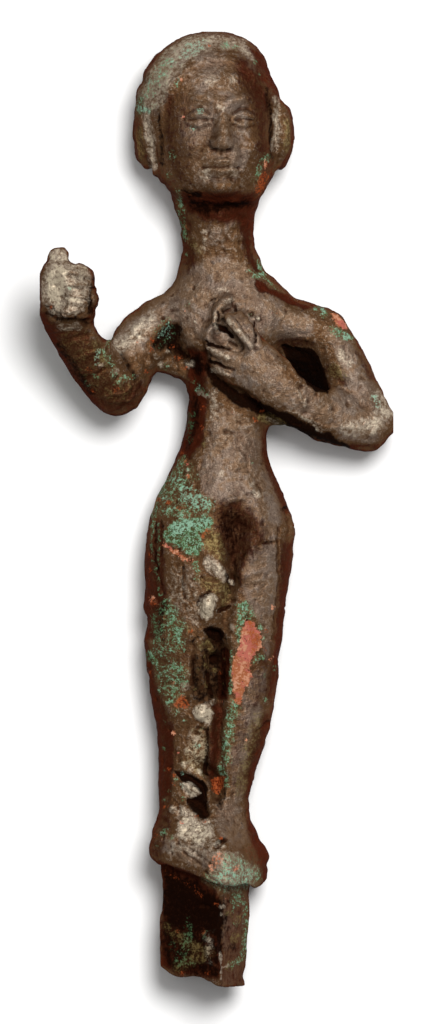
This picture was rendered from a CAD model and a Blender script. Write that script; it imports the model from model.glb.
import math

import bpy
import numpy as np
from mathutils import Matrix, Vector


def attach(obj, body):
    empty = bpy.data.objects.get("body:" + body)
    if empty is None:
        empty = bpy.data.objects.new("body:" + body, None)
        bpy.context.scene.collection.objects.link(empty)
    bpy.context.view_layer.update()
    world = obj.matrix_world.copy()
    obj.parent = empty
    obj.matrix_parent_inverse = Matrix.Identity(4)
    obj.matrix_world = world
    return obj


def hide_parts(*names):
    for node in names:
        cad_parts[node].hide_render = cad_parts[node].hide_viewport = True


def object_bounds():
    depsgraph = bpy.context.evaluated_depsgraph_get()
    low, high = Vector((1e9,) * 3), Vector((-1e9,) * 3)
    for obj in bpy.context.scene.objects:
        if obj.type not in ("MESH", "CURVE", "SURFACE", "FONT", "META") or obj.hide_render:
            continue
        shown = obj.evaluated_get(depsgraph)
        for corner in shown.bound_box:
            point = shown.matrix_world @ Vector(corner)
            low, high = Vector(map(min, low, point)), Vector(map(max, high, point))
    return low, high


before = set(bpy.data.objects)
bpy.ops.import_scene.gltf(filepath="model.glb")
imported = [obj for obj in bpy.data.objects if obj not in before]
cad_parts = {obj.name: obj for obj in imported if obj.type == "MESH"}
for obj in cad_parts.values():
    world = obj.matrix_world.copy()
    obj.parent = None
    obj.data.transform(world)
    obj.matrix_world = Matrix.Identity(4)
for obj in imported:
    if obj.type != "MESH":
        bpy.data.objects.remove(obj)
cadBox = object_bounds()
millimetre = 0.001
tiny = 1e-9                      # keeps a division by nothing from happening

# The photograph: which point of the model shows at which pixel
photo = {"metresPerPixel": 0.0001569, "middleX": 217, "middleY": 509}

# The casting's skin, sizes in metres
casting = {
    "grid": 0.00024,             # voxel size of the fine skin
    "merge": 0.000001,           # points of the solid nearer than this become one
    "smoothing": 0.5,            # how far a smoothing pass moves a point to its neighbours' middle
    "rounding": 9,               # smoothing passes on the figure
    "tangRounding": 1,           # and on the tang, which keeps its edges
    "tangTop": -0.0560,          # y where the tang starts
    "tangFade": 0.0015,
    "triangles": 196000,
    "spike": 0.0006,             # a point this far from its neighbours is a spike
    "spikePasses": 3,
    "backShare": 0.4,            # how much of the fineness the unseen back keeps
    "backTurn": -0.2,            # a face whose normal has a lower z is unseen
    "front": (0.02, 0.45),       # normal's z where the carving starts, and in how much it is full
    "softSteep": 1.0,            # how abrupt the sides of soft and sharp forms are
    "sharpSteep": 1.6,
    "carveStray": (0.9, 0.5),    # pixels that carved strokes stray, broadly and finely
    "stray": ((0.0016, 21, 22), (0.0007, 23, 24)),       # size and seeds of both ways of straying
}

# Unevenness left by casting and corrosion: size, height and seed of each noise
surface = {
    "swell": (0.0040, 0.00020, 1),
    "lump": (0.0017, 0.00018, 2),
    "lumpDrift": (0.008, 0.4, 3),            # where the lumps are higher, as a share
    "lumpShare": 0.6,
    "grit": (0.0008, 0.00010, 4),
    "pit": (0.0012, 1, 5),       # a noise from -1 to 1, of which only the peaks are cut in
    "pitShare": 0.22,
    "pitDepth": 0.00022,
    "pitSteep": 3,
    "faceFoot": (0.050, 0.003),  # y where the face starts, and in how much it is full
    "faceFront": (0.1, 0.4),     # the same for the normal's z
    "faceCalm": 0.55,            # how much smoother the face is
}


def photoSpots(points):                     # where each point shows in the photograph
    step = photo["metresPerPixel"]
    return np.column_stack((points[:, 0] / step + photo["middleX"], photo["middleY"] - points[:, 1] / step))


def wanderingSpots(points, strays):         # the same, shifted here and there so that no stroke is ruled
    spots = photoSpots(points)
    for stray, (size, *seeds) in zip(strays, casting["stray"]):
        spots += np.column_stack([latticeNoise(points, size, seed) * stray for seed in seeds])
    return spots


def selectOnly(piece):
    if bpy.context.object and bpy.context.object.mode != "OBJECT":
        bpy.ops.object.mode_set(mode="OBJECT")
    bpy.ops.object.select_all(action="DESELECT")
    piece.select_set(True)
    bpy.context.view_layer.objects.active = piece


def applyModifier(piece, kind, **settings):
    selectOnly(piece)
    modifier = piece.modifiers.new(kind.lower(), kind)
    for name, value in settings.items():
        setattr(modifier, name, value)
    bpy.ops.object.modifier_apply(modifier=modifier.name)


def readSkin(piece):
    points = np.empty(len(piece.data.vertices) * 3, np.float32)
    normals = np.empty_like(points)
    piece.data.vertices.foreach_get("co", points)
    piece.data.vertex_normals.foreach_get("vector", normals)
    return points.reshape(-1, 3).astype(float), normals.reshape(-1, 3).astype(float)


def writeSkin(piece, points):
    piece.data.vertices.foreach_set("co", points.astype(np.float32).ravel())
    piece.data.update()


def lift(piece, points, normals, height):   # each point moves along its normal, in metres
    writeSkin(piece, points + normals * height[:, None])


def smoothStep(values):
    values = np.clip(values, 0, 1)
    return values * values * (3 - 2 * values)


def rise(values, start, width):             # none up to the start, then softly to one
    return smoothStep((values - start) / width)


def everyStroke(table):                     # a tuple of rows is one stroke, a list is separate spots
    for rows in table.values():
        yield from ([[row] for row in rows] if isinstance(rows, list) else [rows])


# A stroke's rows are (x, y, half width, amount); it swells and fades along its way.
# steep above 1 gives it a flat middle and abrupt sides.
def strokeField(spots, stroke, steep=1.0, widen=1.0):
    rows = [np.array((x, y, widen * halfWidth, amount)) for x, y, halfWidth, amount in stroke]
    if len(rows) == 1:
        rows = rows * 2
    field = np.zeros(len(spots))
    for a, b in zip(rows, rows[1:]):
        reach = max(a[2], b[2])
        low = np.minimum(a[:2], b[:2]) - reach
        high = np.maximum(a[:2], b[:2]) + reach
        near = np.flatnonzero(((spots > low) & (spots < high)).all(axis=1))
        way = b[:2] - a[:2]
        offset = spots[near] - a[:2]
        along = np.clip(offset @ way / max(way @ way, tiny), 0, 1)
        off = np.linalg.norm(offset - along[:, None] * way, axis=1)
        halfWidth = a[2] + along * (b[2] - a[2])
        amount = a[3] + along * (b[3] - a[3])
        here = amount * smoothStep(steep * (1 - off / halfWidth))
        field[near] = np.where(np.abs(here) > np.abs(field[near]), here, field[near])
    return field


# Noise from -1 to 1 that is the same each run: a lattice of hashed values, smoothly joined
def latticeNoise(points, size, seed):
    scaled = points / size + 1000           # the shift keeps every cell's number above none
    cells = np.floor(scaled).astype(np.int64)
    part = smoothStep(scaled - cells)
    total = np.zeros(len(points))
    for corner in range(8):
        step = np.array([corner & 1, (corner >> 1) & 1, (corner >> 2) & 1])
        weight = np.prod(np.where(step, part, 1 - part), axis=1)
        x, y, z = (cells + step).T
        mixed = (x * 73856093) ^ (y * 19349663) ^ (z * 83492791) ^ (seed * 2654435)
        mixed = (mixed ^ (mixed >> 13)) * 1274126177
        total += weight * ((mixed ^ (mixed >> 16)) & 0xFFFF) / 0xFFFF
    return total * 2 - 1


# Small pulls that bring the outline to the photograph's: x, y, reach, then how far across and down
pulls = {
    "fistKnob": (59, 246, 15, 0, 3.8),
    "fistKnobSide": (71, 257, 6, -2.0, 0),
    "fistKnobCorner": (67, 250, 5, -1.5, 0.8),
    "fistKnobLeft": (47, 262, 6, 1.0, 0),
    "fistTopRight": (75, 259, 11, -0.5, 5.6),
    "fistTopEnd": (85, 262, 6, 0, 2.2),
    "fistTopCorner": (89, 268, 9, 1.2, 1.5),
    "fistThumb": (97, 298, 9, 2.0, 0),
    "fistThumbTop": (96, 290, 4, 1.8, 0),
    "fistThumbFoot": (97, 306, 4, 1.8, 0),
    "fistHeel": (95, 312, 8, 1.8, 0),
    "crook": (106, 321, 21, -1.0, 14.0),
    "crookFoot": (104, 337, 9, 0, 3.4),
    "upperArmStart": (118, 327, 13, -2.2, -3.4),
    "upperArmTop": (137, 311, 17, 1.0, 2.2),
    "neckSlopeRight": (266, 268, 18, -1.6, 1.4),
    "neckLowRight": (257, 247, 10, -1.4, 0),
    "shoulderRight": (338, 316, 20, 3.0, -3.2),
    "shoulderSlope": (300, 300, 17, 0, 1.9),
    "shoulderTop": (327, 309, 10, 0, -1.6),
    "elbowRight": (392, 421, 16, 3.6, 1.6),
    "upperArmRight": (382, 388, 13, 1.2, -0.6),
    "forearmUnder": (340, 446, 26, 0, -1.8),
    "web": (282, 427, 15, 0, 2.8),
    "webCorner": (270, 429, 9, 1.2, 3.6),
    "elbowCorner": (389, 429, 10, 1.8, 1.8),
    "sideRight": (269, 456, 16, -1.8, 0),
    "sideLeft": (187, 400, 13, 1.5, 0),
    "sideLeftLow": (181, 447, 10, 2.0, 0),
    "armpitLeft": (153, 377, 8, -0.6, 1.4),
    "armpitMiddle": (175, 378, 6, -0.8, 1.2),
    "elbowInnerEdge": (142, 400, 11, -1.8, -0.5),
    "elbowFoot": (118, 412, 20, 0, 2.2),
    "forearmOuter": (48, 334, 15, -2.4, 1.0),
    "neckLeft": (181, 237, 15, -1.8, 0),
    "hairFootLeft": (152, 172, 10, -2.2, 2.8),
    "jawLeft": (165, 186, 8, 1.0, -2.0),
    "earNotchLeft": (155, 169, 8, 0.3, 2.6),
    "hairSideLeft": (139, 157, 9, -1.2, 0.6),
    "hairLeft": (141, 80, 12, 3.4, 0.6),
    "hairTopLeft": (155, 54, 8, -1.4, -1.4),
    "hairTopRight": (270, 74, 20, -4.8, 1.4),
    "earTopRight": (286, 100, 11, -3.6, 1.2),
    "earFootRight": (273, 175, 9, 2.0, 1.2),
    "neckRight": (256, 204, 9, 1.6, 0),
    "thighLeft": (146, 624, 19, 4.2, 0),
    "kneeLeft": (147, 669, 10, -1.6, 0),
    "shinLeft": (157, 740, 14, -1.2, 0),
    "ankleLeft": (158, 785, 24, -1.9, 0),
    "footLeft": (151, 839, 10, 1.8, 0),
    "plinthLeft": (159, 862, 9, 0, 3.2),
    "tangLeft": (161, 930, 34, -2.0, 0),
    "tangFootLeft": (176, 971, 22, 0, 6.2),
    "tangFootRight": (222, 981, 24, 0, 4.6),
    "tangFootCorner": (245, 976, 11, -2.0, 0),
    "tangRight": (248, 917, 24, 2.2, 0),
    "plinthFootRight": (257, 885, 12, 0, 5.0),
    "plinthRight": (267, 857, 8, 1.8, 0),
    "footRight": (261, 840, 12, -2.0, 1.2),
    "ankleRight": (249, 807, 14, 1.7, 0),
    "calfRight": (254, 780, 12, 1.3, 0.3),
    "calfRightTop": (266, 738, 10, -1.2, 0),
    "thighRight": (284, 611, 13, 1.4, 0),
    "hipRight": (293, 545, 13, -1.8, 0),
    "hipScab": (291, 516, 8, 1.6, 0),
    "thighRightLow": (280, 658, 18, -1.9, 0),
}

# The casting's own forms, as strokes in the photograph's pixels with heights in millimetres
softForms = {
    "fistThumbTip": ((95, 296, 6, 0.35), (95, 302, 6, 0.35)),
    "fistTopEdge": ((72, 265, 5, 0.25), (86, 269, 5, 0.25)),
    "armpitHollow": ((159, 343, 9, -0.25), (168, 333, 11, -0.3), (177, 324, 8, -0.2)),
    "armpitLumpLow": [(150, 363, 6, 0.40)],
    "armpitLumpMiddle": [(159, 355, 6, 0.35)],
    "armpitLumpInner": [(167, 352, 5, 0.30)],
    "sideRippleTop": ((180, 348, 4, 0.25), (200, 343, 4, 0.25)),
    "sideRippleLow": ((182, 362, 4, 0.30), (200, 357, 4, 0.20)),
    "sideHollow": ((192, 348, 6, -0.25), (196, 378, 7, -0.35), (194, 425, 7, -0.2)),
    "palmShade": ((208, 372, 6, -0.2), (228, 388, 7, -0.35), (256, 402, 7, -0.3)),
    "elbowCrook": ((331, 371, 9, -0.2), (344, 380, 9, -0.2)),
    "gapRim": ((282, 350, 3, 0.15), (290, 369, 3, 0.25), (301, 383, 3, 0.20), (320, 394, 3, 0.1)),
    "forearmEdge": ((286, 411, 4, 0.15), (312, 420, 4, 0.3), (328, 429, 4, 0.2)),
    "bellyFold": ((214, 510, 4, 0.15), (228, 501, 4, 0.25), (250, 496, 5, 0.1)),
    "bellySheen": ((244, 482, 7, 0.15), (258, 494, 7, 0.2)),
    "groin": ((226, 514, 9, -0.2), (244, 528, 11, -0.2)),
    "shinGroove": ((208, 732, 4, -0.35), (207, 750, 4.4, -0.55), (206, 772, 4.6, -0.6)),
    "shinStep": ((178, 774, 4, -0.45), (191, 779, 5.5, -0.8), (203, 787, 6, -1.0), (207, 797, 5, -0.8)),
    "heelHole": ((190, 801, 5, -0.6), (201, 803, 8, -1.0), (206, 812, 5, -0.8)),
    "thighBulge": ((214, 560, 14, 0.25), (222, 578, 8, 0.25)),
    "thighKnob": ((206, 600, 9, 0.55), (208, 612, 10, 0.8), (207, 621, 6, 0.4)),
    "flankKnob": [(153, 603, 7, 0.5)],
    "hipScab": ((289, 514, 4, 0.25), (293, 528, 4, 0.45), (291, 542, 4, 0.25)),
    "pitKnob": [(211, 648, 8, 1.0)],
    "pitRidge": ((203, 662, 4, 0.3), (206, 690, 4, 0.3)),
    "pitLumps": ((215, 674, 5, 0.5), (219, 690, 5, 0.5)),
    "pitMouth": ((209, 632, 5.5, -0.6), (217, 635, 6, -0.9)),
    "shinKnob": [(201, 714, 9, 0.55)],
    "shinKnobSmall": [(213, 700, 4, 0.3)],
    "ledge": ((184, 784, 5, 0.4), (198, 792, 5, 0.45)),
    "ankleKnobInner": [(213, 811, 6, 0.35)],
    "ankleKnobOuter": [(172, 808, 6, 0.45)],
    "calfNotch": [(267, 725, 5, -0.35)],
    "patchOfSkin": ((246, 637, 11, 0.16), (243, 655, 12, 0.18), (240, 680, 9, 0.16), (237, 698, 5, 0.14)),
    "tangLumpTall": ((209, 936, 6, 0.45), (207, 950, 6, 0.45), (212, 962, 5, 0.2)),
    "tangLumpHigh": [(223, 907, 4, 0.3)],
    "tangTrough": ((222, 898, 5, -0.25), (219, 930, 5, -0.4), (222, 955, 4, -0.3)),
    "plinthBand": ((172, 846, 8, 0.2), (190, 855, 8, 0.2)),
}

sharpForms = {
    "fistGrooveTop": ((66, 276, 2.4, -0.2), (80, 279, 2.4, -0.5), (94, 280, 2.4, -0.45)),
    "fistGrooveMiddle": ((66, 289, 2.2, -0.15), (80, 289, 2.2, -0.45), (94, 289, 2.2, -0.4)),
    "fistGrooveLow": ((66, 299, 2.2, -0.15), (80, 301, 2.2, -0.4), (92, 300, 2.2, -0.35)),
    "fistThumbEdge": ((91, 286, 2.2, -0.3), (90, 300, 2.2, -0.55), (92, 312, 2.2, -0.3)),
    "fistHeel": ((44, 307, 4, -0.2), (57, 316, 4, -0.35), (70, 318, 4, -0.4), (82, 314, 4, -0.3)),
    "fistRing": [(52.6, 309, 4.2, -0.3)],
    "fistRingMiddle": [(52.6, 309, 1.8, 0.3)],
    "wristBand": ((56, 329, 5, 0.18), (78, 324, 5, 0.18)),
    "armBandA": ((60, 343, 3, -0.18), (90, 334, 3, -0.14)),
    "armBandB": ((66, 362, 3, 0.15), (96, 352, 3, 0.18)),
    "armBandC": ((76, 384, 3, -0.16), (112, 366, 3, -0.2)),
    "elbowArcA": ((106, 396, 1.8, 0.16), (124, 393, 1.8, 0.2), (138, 382, 1.8, 0.14)),
    "elbowArcB": ((110, 402, 1.6, 0.12), (128, 401, 1.6, 0.16), (141, 392, 1.6, 0.1)),
    "chestPeckA": ((211, 300, 1.8, -0.35), (217, 297, 1.8, -0.25)),
    "chestPeckB": ((213, 304, 1.6, -0.3), (219, 300, 1.6, -0.25)),
    "thumbRidge": ((214, 308, 2.2, 0.15), (214, 322, 2.2, 0.2), (218, 333, 2.4, 0.2)),
    "handWedge": ((216, 325, 2.4, -0.4), (224, 329, 3.0, -0.6), (232, 336, 2.4, -0.45)),
    "handNotch": ((217, 313, 2.4, -0.2), (218, 321, 2.4, -0.25)),
    "handKnob": ((225, 307, 5, 0.25), (229, 305, 5, 0.25)),
    "stick": ((228, 318, 3.8, 0.35), (239, 332, 3.8, 0.4), (251, 347, 3.8, 0.35)),
    "topKnuckle": [(230, 300, 2.6, 0.2)],
    "topSlit": ((236, 305, 1.6, -0.25), (235, 314, 1.6, -0.25)),
    "fanLineA": ((236, 320, 1.4, -0.2), (250, 338, 1.4, -0.2)),
    "fanLineB": ((243, 324, 1.3, -0.15), (254, 340, 1.3, -0.15)),
    "fanLineC": ((254.5, 322, 1.3, -0.3), (254.5, 344, 1.2, -0.25)),
    "fanKnob": [(246, 320, 3.2, 0.25)],
    "fanPit": [(252, 314, 3.0, -0.35)],
    "fanGlint": [(258, 318, 2.4, 0.3)],
    "fingerLineTop": ((206, 342, 2.2, -0.35), (216, 347, 1.8, -0.35), (230, 350, 1.6, -0.25)),
    "fingerTop": ((207, 349, 4.0, 0.2), (216, 354, 4.0, 0.25), (228, 359, 3.6, 0.15)),
    "fingerLineLow": ((208, 361, 2.6, -0.3), (220, 366, 2.4, -0.35), (234, 370, 2.0, -0.2)),
    "fingerLow": ((210, 368, 3.4, 0.25), (219, 372, 3.4, 0.3), (231, 377, 3.0, 0.15)),
    "palmNick": ((230, 342, 2.0, -0.35), (237, 345, 1.6, -0.3)),
    "forearmScratch": ((297, 389, 1.3, 0.16), (300, 399, 1.3, 0.2), (305, 409, 1.3, 0.12)),
    "gapNick": [(308, 339, 2.0, 0.3)],
    "thighStep": ((183.5, 566, 2.6, -0.1), (184.5, 598, 2.8, -0.14)),
    "groinEnd": ((227, 576, 2.2, -0.35), (229, 591, 2.4, -0.35)),
    "hipCrack": ((263, 544, 1.3, -0.35), (273, 543, 1.3, -0.3)),
    "hipLine": ((254, 545, 1.6, 0.12), (275, 554, 1.6, 0.12)),
    "knobArc": ((198, 603, 2.0, -0.4), (201, 597, 2.0, -0.55), (210, 591, 1.8, -0.4)),
    "knobCrack": ((218, 611, 1.8, -0.4), (229, 606, 1.6, -0.4)),
    "flankGrooveA": ((156, 524, 1.6, -0.12), (157, 560, 1.6, -0.12), (163, 594, 1.6, -0.12)),
    "flankGrooveB": ((162, 520, 1.6, -0.1), (162, 556, 1.6, -0.12)),
    "flankEdge": ((279, 528, 2.4, -0.2), (279, 580, 2.4, -0.25), (273, 640, 2.4, -0.15)),
    "scabGroove": ((286, 514, 2.2, -0.3), (288, 528, 2.2, -0.3), (287, 541, 2.2, -0.25)),
    "hipNotch": [(286, 509, 3.0, -0.45)],
    "pitHole": [(214.5, 659, 4.4, -0.9)],
    "pitBand": ((208, 674, 3.4, -0.4), (209, 688, 3.8, -0.5), (211, 698, 3.2, -0.3)),
    "pitPecks": ((194, 645, 3.0, -0.2), (193, 660, 3.4, -0.3), (192, 684, 3.4, -0.3)),
    "shinNick": ((198, 727, 2.0, -0.25), (206, 730, 2.0, -0.25)),
    "ankleStreak": ((215, 783, 1.3, 0.25), (222, 795, 1.3, 0.2)),
    "calfGroove": ((269, 723, 2.6, -0.3), (256, 731, 2.2, -0.2)),
    "footDent": ((217, 846, 3.6, -0.5), (226, 839, 3.4, -0.5)),
    "plinthFibreA": ((170, 846, 1.6, -0.18), (184, 852, 1.6, -0.2), (204, 866, 1.6, -0.15)),
    "plinthFibreB": ((178, 843, 1.6, -0.15), (196, 852, 1.6, -0.2), (212, 866, 1.6, -0.15)),
    "plinthFibreC": ((190, 843, 1.5, -0.15), (205, 848, 1.5, -0.15)),
    "plinthCrack": ((230, 878, 1.6, -0.3), (228, 891, 1.6, -0.3)),
    "plinthPecks": ((205, 872, 2.4, -0.3), (214, 882, 2.4, -0.35)),
    "tangBand": ((172, 872, 3, 0.2), (197, 888, 3, 0.25)),
    "tangRidge": ((218.5, 953, 1.8, 0.22), (220.6, 981, 1.8, 0.25)),
    "tangScratch": ((222, 967, 1.3, 0.14), (231, 965, 1.3, 0.14)),
}

# The face, in millimetres straight in front of the turned head; each side has the same strokes
head = {
    "axisX": -0.00036,
    "axisZ": 0.00744,
    "turn": 6,                   # degrees, towards the figure's left
    "faceDepth": 2,              # millimetres in front of the axis where the face starts
    "front": (0.05, 0.3),        # normal's z where it starts, and in how much it is full
}
faceSides = {
    "upperLid": ((1.7, 61.1, 0.42, 0.18), (2.7, 61.9, 0.42, 0.22), (3.8, 62.0, 0.42, 0.22),
        (5.3, 61.1, 0.4, 0.16)),
    "lidCrease": ((1.9, 61.9, 0.40, -0.18), (3.0, 62.7, 0.42, -0.25), (4.2, 62.7, 0.42, -0.22),
        (5.6, 61.7, 0.4, -0.15)),
    "lowerLid": ((1.8, 60.7, 0.36, 0.14), (3.4, 60.0, 0.36, 0.18), (5.2, 60.7, 0.36, 0.14)),
    "underLid": ((1.9, 60.1, 0.36, -0.14), (3.4, 59.4, 0.40, -0.2), (5.3, 60.0, 0.36, -0.14)),
    "innerCorner": [(1.5, 60.9, 0.45, -0.3)],
    "outerCorner": [(5.8, 60.9, 0.40, -0.2)],
    "eyeGap": ((2.2, 60.9, 0.34, -0.26), (3.5, 61.0, 0.38, -0.28), (5.0, 60.8, 0.34, -0.24)),
    "eyeball": [(3.5, 61.0, 0.55, 0.12)],
    "noseWing": ((2.0, 57.6, 0.40, -0.22), (2.1, 56.9, 0.40, -0.3), (1.6, 56.1, 0.38, -0.25)),
    "nostrilHole": ((0.95, 56.0, 0.42, -0.35), (1.3, 56.1, 0.36, -0.3)),
    "cheekFold": ((2.5, 57.3, 0.6, -0.15), (3.5, 54.9, 0.6, -0.15)),
    "mouthCorner": [(2.9, 53.4, 0.5, -0.3)],
}
faceMiddle = {
    "mouthLine": ((-2.8, 53.4, 0.34, -0.25), (-1.2, 53.55, 0.36, -0.38), (0, 53.4, 0.36, -0.36),
        (1.2, 53.55, 0.36, -0.38), (2.8, 53.4, 0.34, -0.25)),
    "upperLipEdge": ((-2.4, 54.5, 0.34, -0.1), (-0.6, 55.1, 0.34, -0.14), (0, 54.9, 0.3, -0.1),
        (0.6, 55.1, 0.34, -0.14), (2.4, 54.5, 0.34, -0.1)),
    "lipHollow": ((0, 55.9, 0.5, -0.16), (0, 55.1, 0.5, -0.16)),
    "chinCrease": ((-1.8, 51.7, 0.7, -0.2), (0, 51.5, 0.7, -0.25), (1.8, 51.7, 0.7, -0.2)),
}

# Hair: fine combed strands on a close cap, in metres
hair = {
    "strand": 0.00072,           # from one strand to the next
    "sideWidening": 1.15,        # how much wider the strands of the sides are
    "depth": 0.00008,
    "middle": (216, 141),        # pixel that the strands over the brow ring
    "faceReach": (55, 74),       # half axes of the bare face there
    "faceEdge": (0.98, 0.07),    # where the hair starts in those half axes, and in how much it is full
    "sideEdge": (-0.0088, 0.0015),           # the same down the sides
    "foot": (0.0525, 0.003),     # and up from the nape
    "top": (-0.05, 0.35),        # normal's z where the ring strands take over from those of the sides
    "headRadius": 0.0105,
    "waver": ((0.0022, 0.0007, 11), (0.0009, 0.00025, 12)),          # noise size, amount and seed
    "dab": (0.0016, 13),         # size and seed of the noise that breaks the strands up
    "dabDepth": (0.55, 0.75),    # their middle depth and its sway, as shares of the depth
    "dabLimits": (0.1, 1.2),
}


def faceSpots(points):                      # millimetres across and up the turned face
    turn = math.radians(head["turn"])
    x = points[:, 0] - head["axisX"]
    z = points[:, 2] - head["axisZ"]
    across = x * math.cos(turn) - z * math.sin(turn)
    forward = x * math.sin(turn) + z * math.cos(turn)
    return np.column_stack((across * 1000, points[:, 1] * 1000)), forward * 1000


def copyCasting():                          # the solid's own mesh, merged into one skin
    piece = bpy.data.objects.new("bronze_idol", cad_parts["idol"].data.copy())
    bpy.context.scene.collection.objects.link(piece)
    selectOnly(piece)
    bpy.ops.object.mode_set(mode="EDIT")
    bpy.ops.mesh.select_all(action="SELECT")
    bpy.ops.mesh.remove_doubles(threshold=casting["merge"])
    bpy.ops.object.mode_set(mode="OBJECT")
    return piece


def levelGroup(piece, name, weights, levels=12):         # a vertex group from an array of weights
    group = piece.vertex_groups.new(name=name)
    steps = np.rint(np.clip(weights, 0, 1) * levels).astype(int)
    for step in range(1, levels + 1):
        group.add(np.flatnonzero(steps == step).tolist(), step / levels, "REPLACE")


def roundSkin(piece):
    applyModifier(piece, "REMESH", mode="VOXEL", voxel_size=casting["grid"], use_smooth_shade=True)
    points, normals = readSkin(piece)
    levelGroup(piece, "figure", rise(points[:, 1], casting["tangTop"], casting["tangFade"]))
    factor = casting["smoothing"]
    applyModifier(piece, "SMOOTH", factor=factor, iterations=casting["rounding"], vertex_group="figure")
    applyModifier(piece, "SMOOTH", factor=factor, iterations=casting["tangRounding"])


def pullOutline(piece):
    points, normals = readSkin(piece)
    spots = photoSpots(points)
    shift = np.zeros((len(points), 2))
    for x, y, reach, across, down in pulls.values():
        share = smoothStep(1 - np.linalg.norm(spots - (x, y), axis=1) / reach)
        shift += share[:, None] * (across, -down)
    points[:, :2] += shift * photo["metresPerPixel"]
    writeSkin(piece, points)


def heightOf(forms, spots, steep=1.0):
    return sum(strokeField(spots, stroke, steep) for stroke in everyStroke(forms))


def carveFront(piece, forms, steep):
    points, normals = readSkin(piece)
    height = heightOf(forms, wanderingSpots(points, casting["carveStray"]), steep)
    lift(piece, points, normals, height * rise(normals[:, 2], *casting["front"]) * millimetre)


def carveFace(piece):
    points, normals = readSkin(piece)
    spots, forward = faceSpots(points)
    facing = rise(normals[:, 2], *head["front"]) * (forward > head["faceDepth"])
    height = heightOf(faceSides, spots) + heightOf(faceSides, spots * (-1, 1)) + heightOf(faceMiddle, spots)
    lift(piece, points, normals, height * facing * millimetre)


def hairShare(points):                      # one on the hair, none on face and neck
    radius = np.linalg.norm((photoSpots(points) - hair["middle"]) / hair["faceReach"], axis=1)
    around = np.maximum(rise(radius, *hair["faceEdge"]), rise(-points[:, 2], *hair["sideEdge"]))
    return around * rise(points[:, 1], *hair["foot"])


def carveHair(piece):
    points, normals = readSkin(piece)
    ring = np.linalg.norm((photoSpots(points) - hair["middle"]) * photo["metresPerPixel"], axis=1)
    side = np.arctan2(points[:, 0] - head["axisX"], points[:, 2] - head["axisZ"]) * hair["headRadius"]
    waver = sum(latticeNoise(points, size, seed) * amount for size, amount, seed in hair["waver"])
    over = np.sin((ring + waver) * 2 * math.pi / hair["strand"])
    down = np.sin((side + waver) * 2 * math.pi / (hair["strand"] * hair["sideWidening"]))
    top = rise(normals[:, 2], *hair["top"])
    strands = over * top + down * (1 - top)
    middle, sway = hair["dabDepth"]
    dabs = np.clip(middle + sway * latticeNoise(points, *hair["dab"]), *hair["dabLimits"])
    lift(piece, points, normals, strands * dabs * hair["depth"] * hairShare(points))


def unevenness(points, name):
    size, height, seed = surface[name]
    return height * latticeNoise(points, size, seed)


def roughen(piece):                         # what casting and burial did to the whole surface
    points, normals = readSkin(piece)
    face = rise(points[:, 1], *surface["faceFoot"]) * rise(normals[:, 2], *surface["faceFront"])
    height = unevenness(points, "swell")
    height += unevenness(points, "lump") * (surface["lumpShare"] + unevenness(points, "lumpDrift"))
    height += unevenness(points, "grit")
    pits = unevenness(points, "pit") - (1 - 2 * surface["pitShare"])
    height -= surface["pitDepth"] * smoothStep(pits * surface["pitSteep"])
    lift(piece, points, normals, height * (1 - surface["faceCalm"] * face))


def keepInside(piece):                      # nothing stands proud of the solid's own box
    writeSkin(piece, np.clip(readSkin(piece)[0], *np.array(cadBox)))


def meshEdges(piece):
    edges = np.empty(len(piece.data.edges) * 2, np.int32)
    piece.data.edges.foreach_get("vertices", edges)
    return edges.reshape(-1, 2)


def softened(edges, values, passes):        # values averaged with their neighbours, again and again
    a, b = edges.T
    count = np.bincount(np.concatenate((a, b)), minlength=len(values))[:, None]
    for turn in range(passes):
        total = np.empty_like(values)
        for axis, column in enumerate(values.T):
            total[:, axis] = np.bincount(a, column[b], len(values)) + np.bincount(b, column[a], len(values))
        values = casting["smoothing"] * values + (1 - casting["smoothing"]) * total / np.maximum(count, 1)
    return values


def dropSpikes(piece):                      # a point far from its neighbours goes back among them
    points, normals = readSkin(piece)
    calm = softened(meshEdges(piece), points, casting["spikePasses"])
    stray = np.linalg.norm(points - calm, axis=1) > casting["spike"]
    points[stray] = calm[stray]
    writeSkin(piece, points)
    print("spikes", int(stray.sum()))


def thinOut(piece):                         # the back keeps a share of its faces, then all gives up a few
    points, normals = readSkin(piece)
    hidden = (normals[:, 2] < casting["backTurn"]).astype(float)
    levelGroup(piece, "hidden", hidden)
    kept = 1 - hidden.mean() * (1 - casting["backShare"])
    applyModifier(piece, "DECIMATE", vertex_group="hidden", ratio=kept)
    piece.data.calc_loop_triangles()
    applyModifier(piece, "DECIMATE", ratio=min(1, casting["triangles"] / len(piece.data.loop_triangles)))


print("stage 1: the casting's skin")
idol = copyCasting()
roundSkin(idol)
pullOutline(idol)

print("stage 2: forms, face and hair")
carveFront(idol, softForms, casting["softSteep"])
carveFront(idol, sharpForms, casting["sharpSteep"])
carveFace(idol)
carveHair(idol)
roughen(idol)
thinOut(idol)
dropSpikes(idol)
keepInside(idol)
selectOnly(idol)
bpy.ops.object.shade_smooth()
print("triangles", sum(len(face.vertices) - 2 for face in idol.data.polygons))

# How the patina lies on the casting, depths and noise sizes in metres
patina = {
    "edgeStray": (1.6, 1.2),     # pixels that painted edges stray, broadly and finely
    "front": (-0.45, 0.35),      # normal's z where the front starts, and in how much it is full
    "widen": 1.3,                # a painted stroke is this much wider than its row says
    "steep": 1.15,
    "fine": (6, 0.00006),        # smoothing passes and depth of the small hollows
    "broad": (40, 0.0003),       # and of the large ones
    "hollowScale": 0.25,
    "level": 0.5,                # how a surface without hollows is written
    "flank": 0.85,               # a normal with a lower z belongs to a flank
    "drift": ((0.012, 31), (0.005, 32)),     # noises of the unseen side, size and seed
    "stray": ((0.009, 33), (0.004, 34)),
    "smallShare": 0.5,           # weight of the second noise of each two
}

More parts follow.
